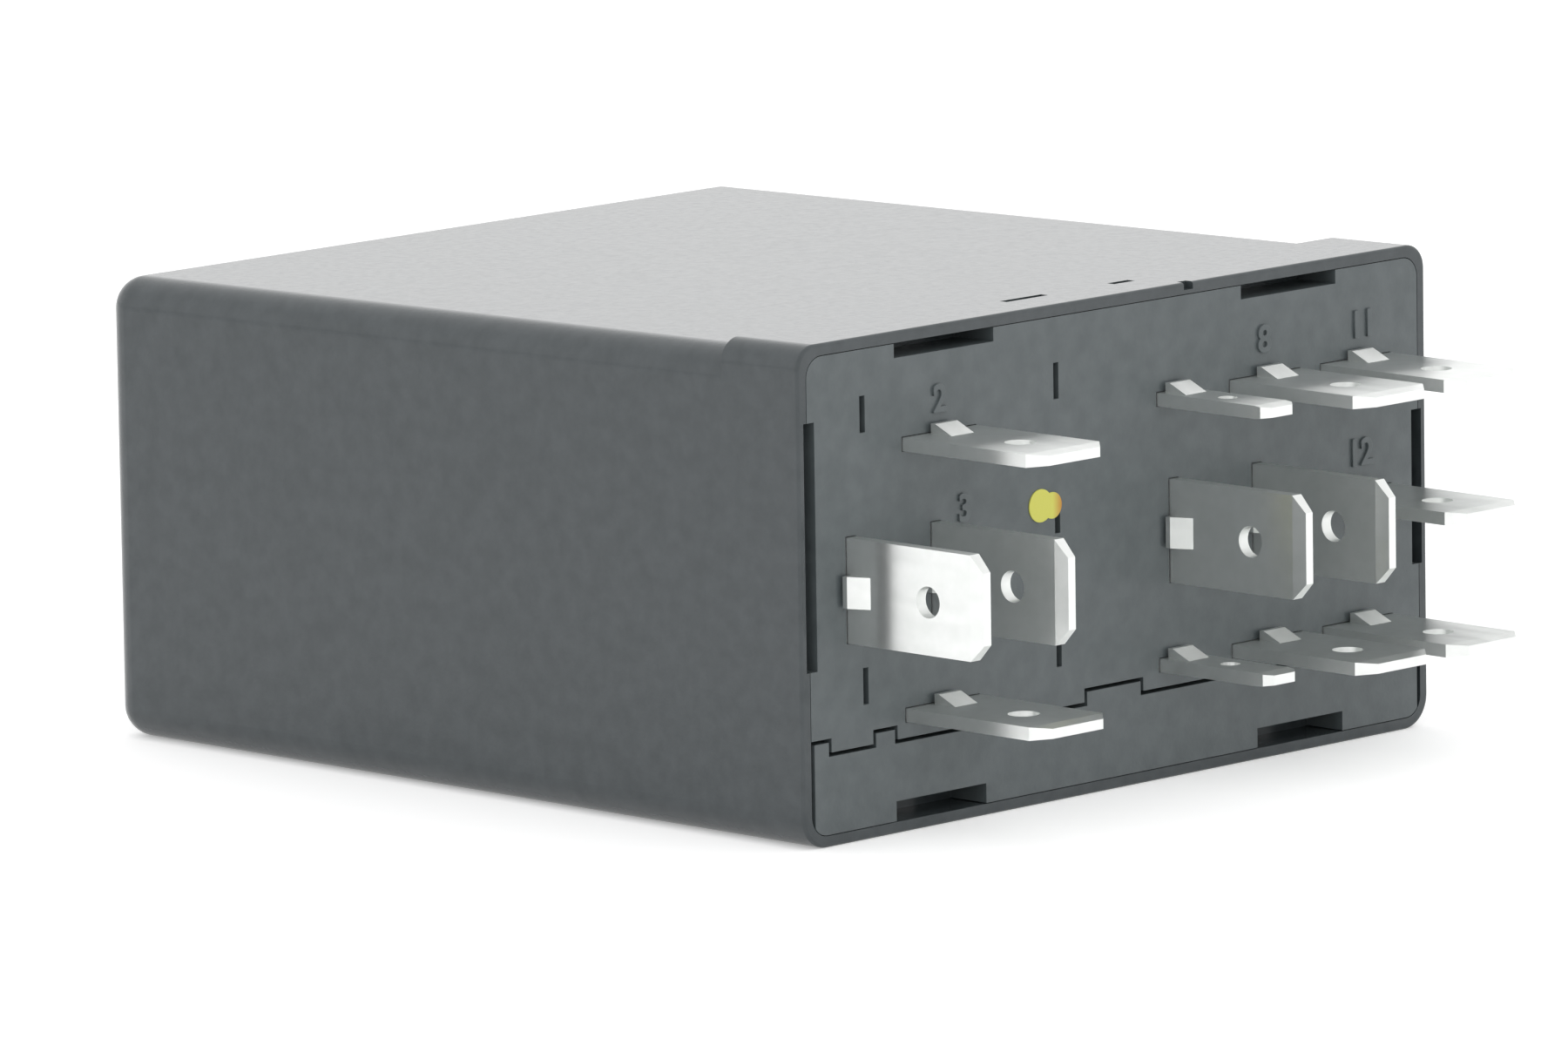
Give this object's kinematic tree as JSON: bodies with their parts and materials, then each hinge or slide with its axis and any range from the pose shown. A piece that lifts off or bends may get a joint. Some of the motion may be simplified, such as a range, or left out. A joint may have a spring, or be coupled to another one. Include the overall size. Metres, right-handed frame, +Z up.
{
  "type": "automotive relay",
  "caption": "Thirteen-terminal plug-in automotive relay box with two hinged-armature relays on a circuit board inside.",
  "frame": {"origin": "Bottom centre of the bounding box: middle of the length from the closed end to the blade tips, middle of the width, on the flat bottom face that the box lies on.", "axes": "+X points from the closed end towards the blade tips, +Y across the width with the blade groups A and B on the -Y side, +Z up from the bottom face to the top with the raised rim."},
  "size_m": [0.071, 0.055, 0.03],
  "materials": {
    "cover_plastic": "fine-grained satin",
    "carrier_plastic": "fine-grained satin",
    "tinned_brass": "dull tin plating",
    "relay_plastic": "moulded",
    "bobbin_plastic": "moulded",
    "plated_steel": "zinc plated",
    "spring_steel": "drawn wire",
    "enamelled_copper": "enamelled wire",
    "copper_strip": "rolled strip",
    "contact_silver": "turned",
    "component_black": "moulded",
    "capacitor_can": "sleeved can",
    "circuit_board": "solder-masked glass fibre",
    "yellow_paint": "dab of marking paint"
  },
  "bodies": {
    "housing": {"cover": "cover_plastic", "terminal_carrier": "carrier_plastic", "board_tray": "carrier_plastic", "terminal_a_middle": "tinned_brass", "terminal_b_top": "tinned_brass", "terminal_b_middle": "tinned_brass", "terminal_b_bottom": "tinned_brass", "terminal_c_top": "tinned_brass", "terminal_c_middle": "tinned_brass", "terminal_c_bottom": "tinned_brass", "terminal_d_top": "tinned_brass", "terminal_d_middle": "tinned_brass", "terminal_d_bottom": "tinned_brass", "terminal_e_top": "tinned_brass", "terminal_e_middle": "tinned_brass", "terminal_e_bottom": "tinned_brass", "relay_base_1": "relay_plastic", "yoke_1": "plated_steel", "core_1": "plated_steel", "bobbin_1": "bobbin_plastic", "coil_winding_1": "enamelled_copper", "coil_pins_1": "tinned_brass", "no_carrier_1": "copper_strip", "no_contact_1": "contact_silver", "nc_carrier_1": "copper_strip", "nc_contact_1": "contact_silver", "common_post_1": "copper_strip", "pigtail_1": "copper_strip", "return_spring_1": "spring_steel", "relay_base_2": "relay_plastic", "yoke_2": "plated_steel", "core_2": "plated_steel", "bobbin_2": "bobbin_plastic", "coil_winding_2": "enamelled_copper", "coil_pins_2": "tinned_brass", "no_carrier_2": "copper_strip", "no_contact_2": "contact_silver", "nc_carrier_2": "copper_strip", "nc_contact_2": "contact_silver", "common_post_2": "copper_strip", "pigtail_2": "copper_strip", "return_spring_2": "spring_steel", "integrated_circuit": "component_black", "electrolytic_capacitor": "capacitor_can", "driver_transistor_1": "component_black", "flyback_diode_1": "component_black", "base_resistor_1": "component_black", "driver_transistor_2": "component_black", "flyback_diode_2": "component_black", "base_resistor_2": "component_black", "main_board": "circuit_board", "inspection_dot": "yellow_paint"},
    "armature_1": {"armature_1": "plated_steel", "contact_leaf_1": "copper_strip", "moving_contact_1": "contact_silver"},
    "armature_2": {"armature_2": "plated_steel", "contact_leaf_2": "copper_strip", "moving_contact_2": "contact_silver"}
  },
  "joints": [
    {"name": "armature_1_pull_in", "type": "hinge", "parent": "housing", "child": "armature_1", "pos_m": [-0.02835, -0.0161, 0.0219], "axis": [0, 1, 0], "range_deg": [0, 3], "stiffness_Nm_per_rad": 0.02, "springref_deg": -14.32, "deforming": ["return_spring_1", "pigtail_1"]},
    {"name": "armature_2_pull_in", "type": "hinge", "parent": "housing", "child": "armature_2", "pos_m": [-0.02835, 0.0161, 0.0219], "axis": [0, 1, 0], "range_deg": [0, 3], "stiffness_Nm_per_rad": 0.02, "springref_deg": -14.32, "deforming": ["return_spring_2", "pigtail_2"]}
  ]
}
